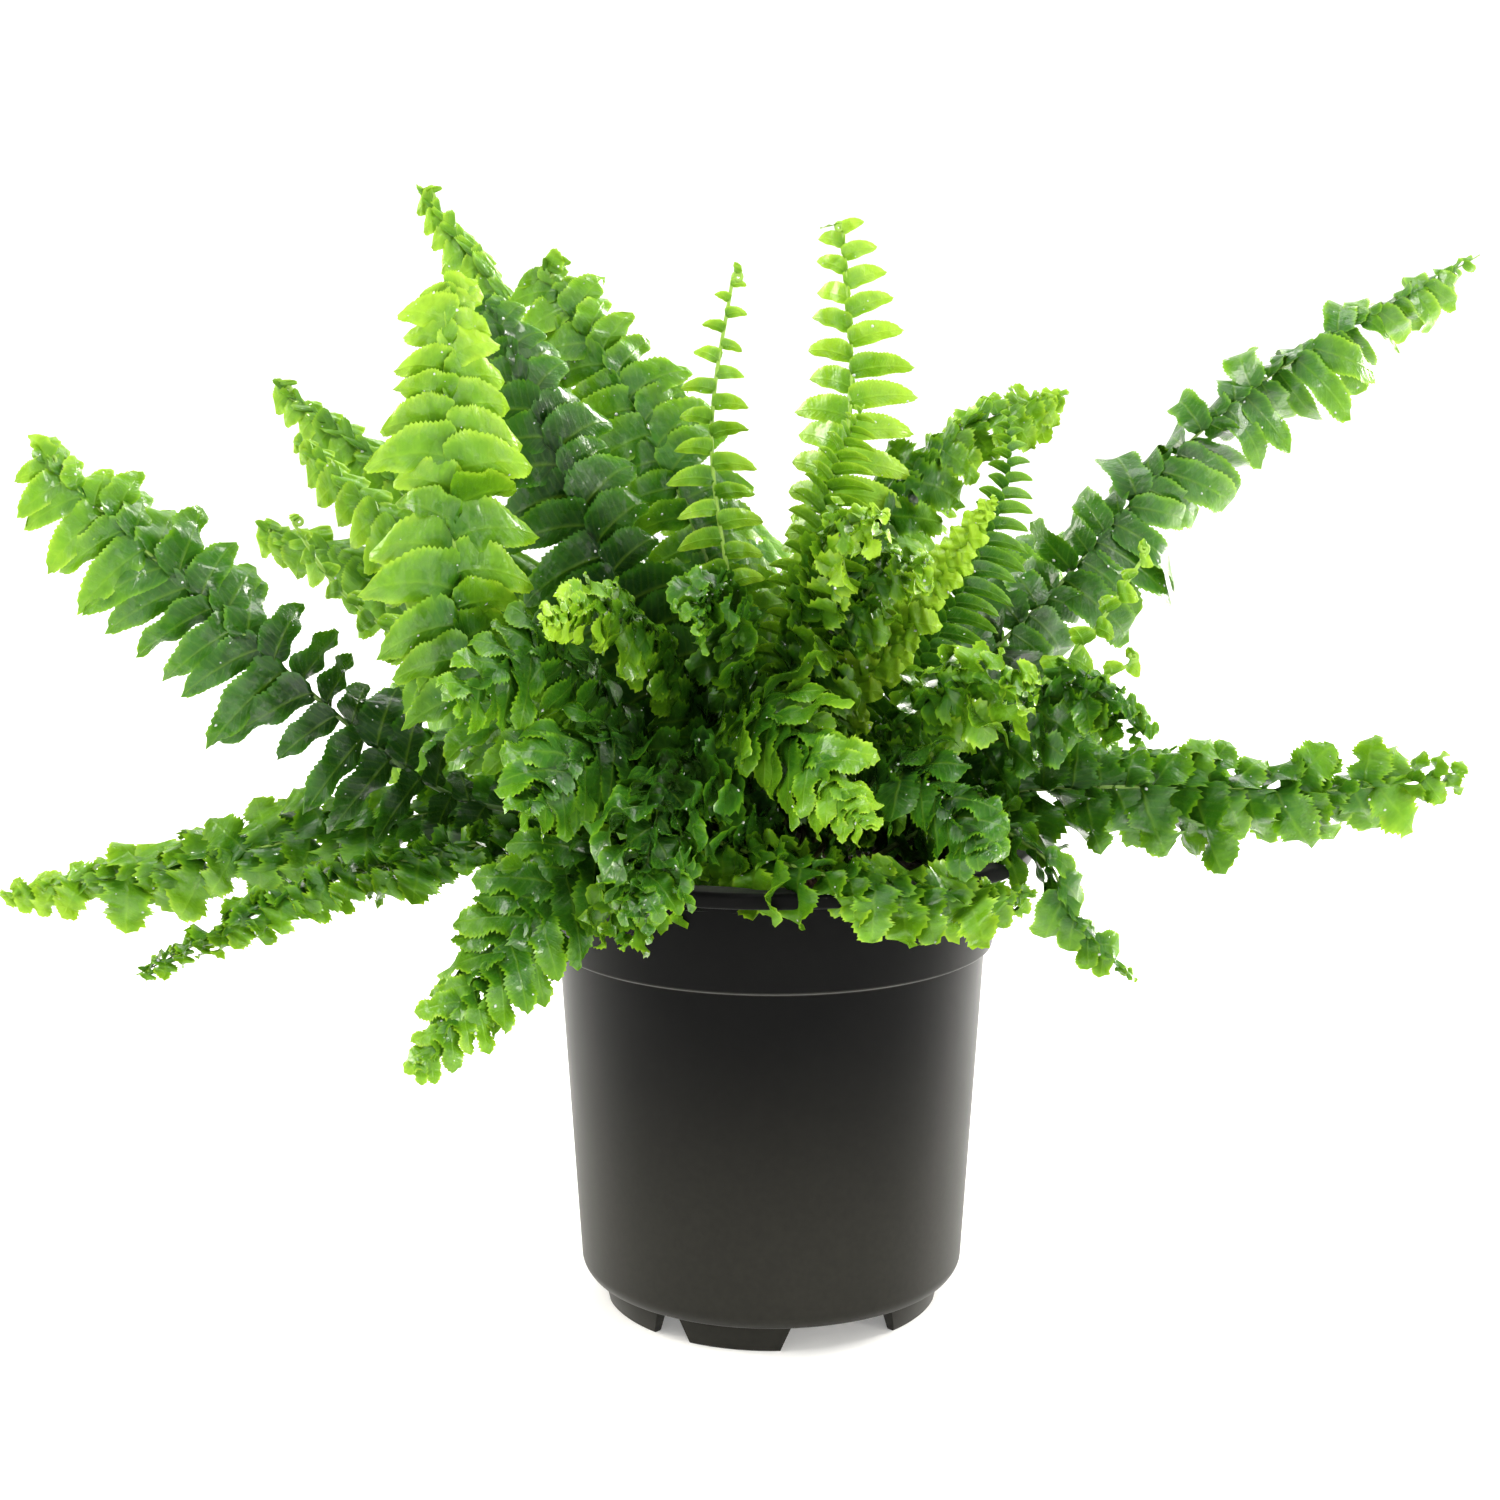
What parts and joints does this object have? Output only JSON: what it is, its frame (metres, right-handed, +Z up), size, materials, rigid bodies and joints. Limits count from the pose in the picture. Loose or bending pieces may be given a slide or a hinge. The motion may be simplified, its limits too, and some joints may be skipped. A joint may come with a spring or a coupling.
{
  "type": "potted fern",
  "caption": "Compact Boston fern with arching, ruffled, bright to deep green fronds in a round black nursery pot with a flanged lip, a stepped collar and slotted feet",
  "frame": {"origin": "on the axis of the pot, level with the soles of its feet, which is the centre of the bottom of the whole object's box", "axes": "+Z up along the pot's axis, +X to the right as the picture shows it, +Y away from the picture's viewer"},
  "size_m": [0.33, 0.192, 0.243],
  "materials": {
    "pot": "satin black moulded plastic",
    "soil": "moist, crumbly peat potting mix",
    "crown": "fibrous brown rhizome",
    "green_leaf": "wet, satin mid to deep green leaf",
    "bright_leaf": "wet, satin bright green leaf",
    "young_leaf": "soft yellow-green young leaf"
  },
  "bodies": {
    "root": {"pot": "pot", "potting_soil": "soil", "crown": "crown", "frond_left_high": "bright_leaf", "frond_left_low": "green_leaf", "frond_left_low_thin": "green_leaf", "frond_front_left_falling": "green_leaf", "frond_rim_left": "green_leaf", "frond_rim_front": "bright_leaf", "frond_left_upright": "bright_leaf", "frond_left_crozier": "young_leaf", "frond_left_back_low": "bright_leaf", "frond_left_back_mid": "bright_leaf", "frond_left_back_thin": "bright_leaf", "frond_tall_left": "bright_leaf", "frond_left_arch": "bright_leaf", "frond_dark_crescent": "green_leaf", "frond_young_centre": "young_leaf", "frond_young_right": "young_leaf", "frond_fan_centre": "bright_leaf", "frond_crescent_right": "green_leaf", "frond_edge_right": "bright_leaf", "frond_right_back_dark": "green_leaf", "frond_right_far": "green_leaf", "frond_right_level": "green_leaf", "frond_right_falling": "green_leaf", "frond_young_far_right": "young_leaf", "frond_crozier_right": "young_leaf", "frond_right_serrated": "green_leaf", "frond_front_right_bright": "bright_leaf", "frond_front_pale": "bright_leaf", "frond_front_light_tip": "bright_leaf", "frond_front_centre": "bright_leaf", "frond_front_right_low": "green_leaf", "frond_ruffled_left": "green_leaf", "frond_ruffled_left_low": "green_leaf", "frond_ruffled_centre": "green_leaf", "frond_ruffled_front": "green_leaf", "frond_bright_cluster": "bright_leaf", "frond_back_right_high": "green_leaf", "frond_back_mid": "green_leaf", "frond_back_left_high": "green_leaf", "frond_back_left_low": "green_leaf", "frond_back_left_long": "green_leaf", "frond_side_left_back": "green_leaf", "frond_side_right_back": "green_leaf", "frond_back_upright": "green_leaf", "frond_back_tall": "green_leaf", "frond_back_left_mid": "green_leaf", "frond_back_falling": "green_leaf", "frond_back_left_falling": "green_leaf", "frond_back_right_falling": "green_leaf", "frond_side_right_low": "green_leaf", "frond_side_left_low": "green_leaf", "frond_young_back": "young_leaf"}
  },
  "joints": []
}
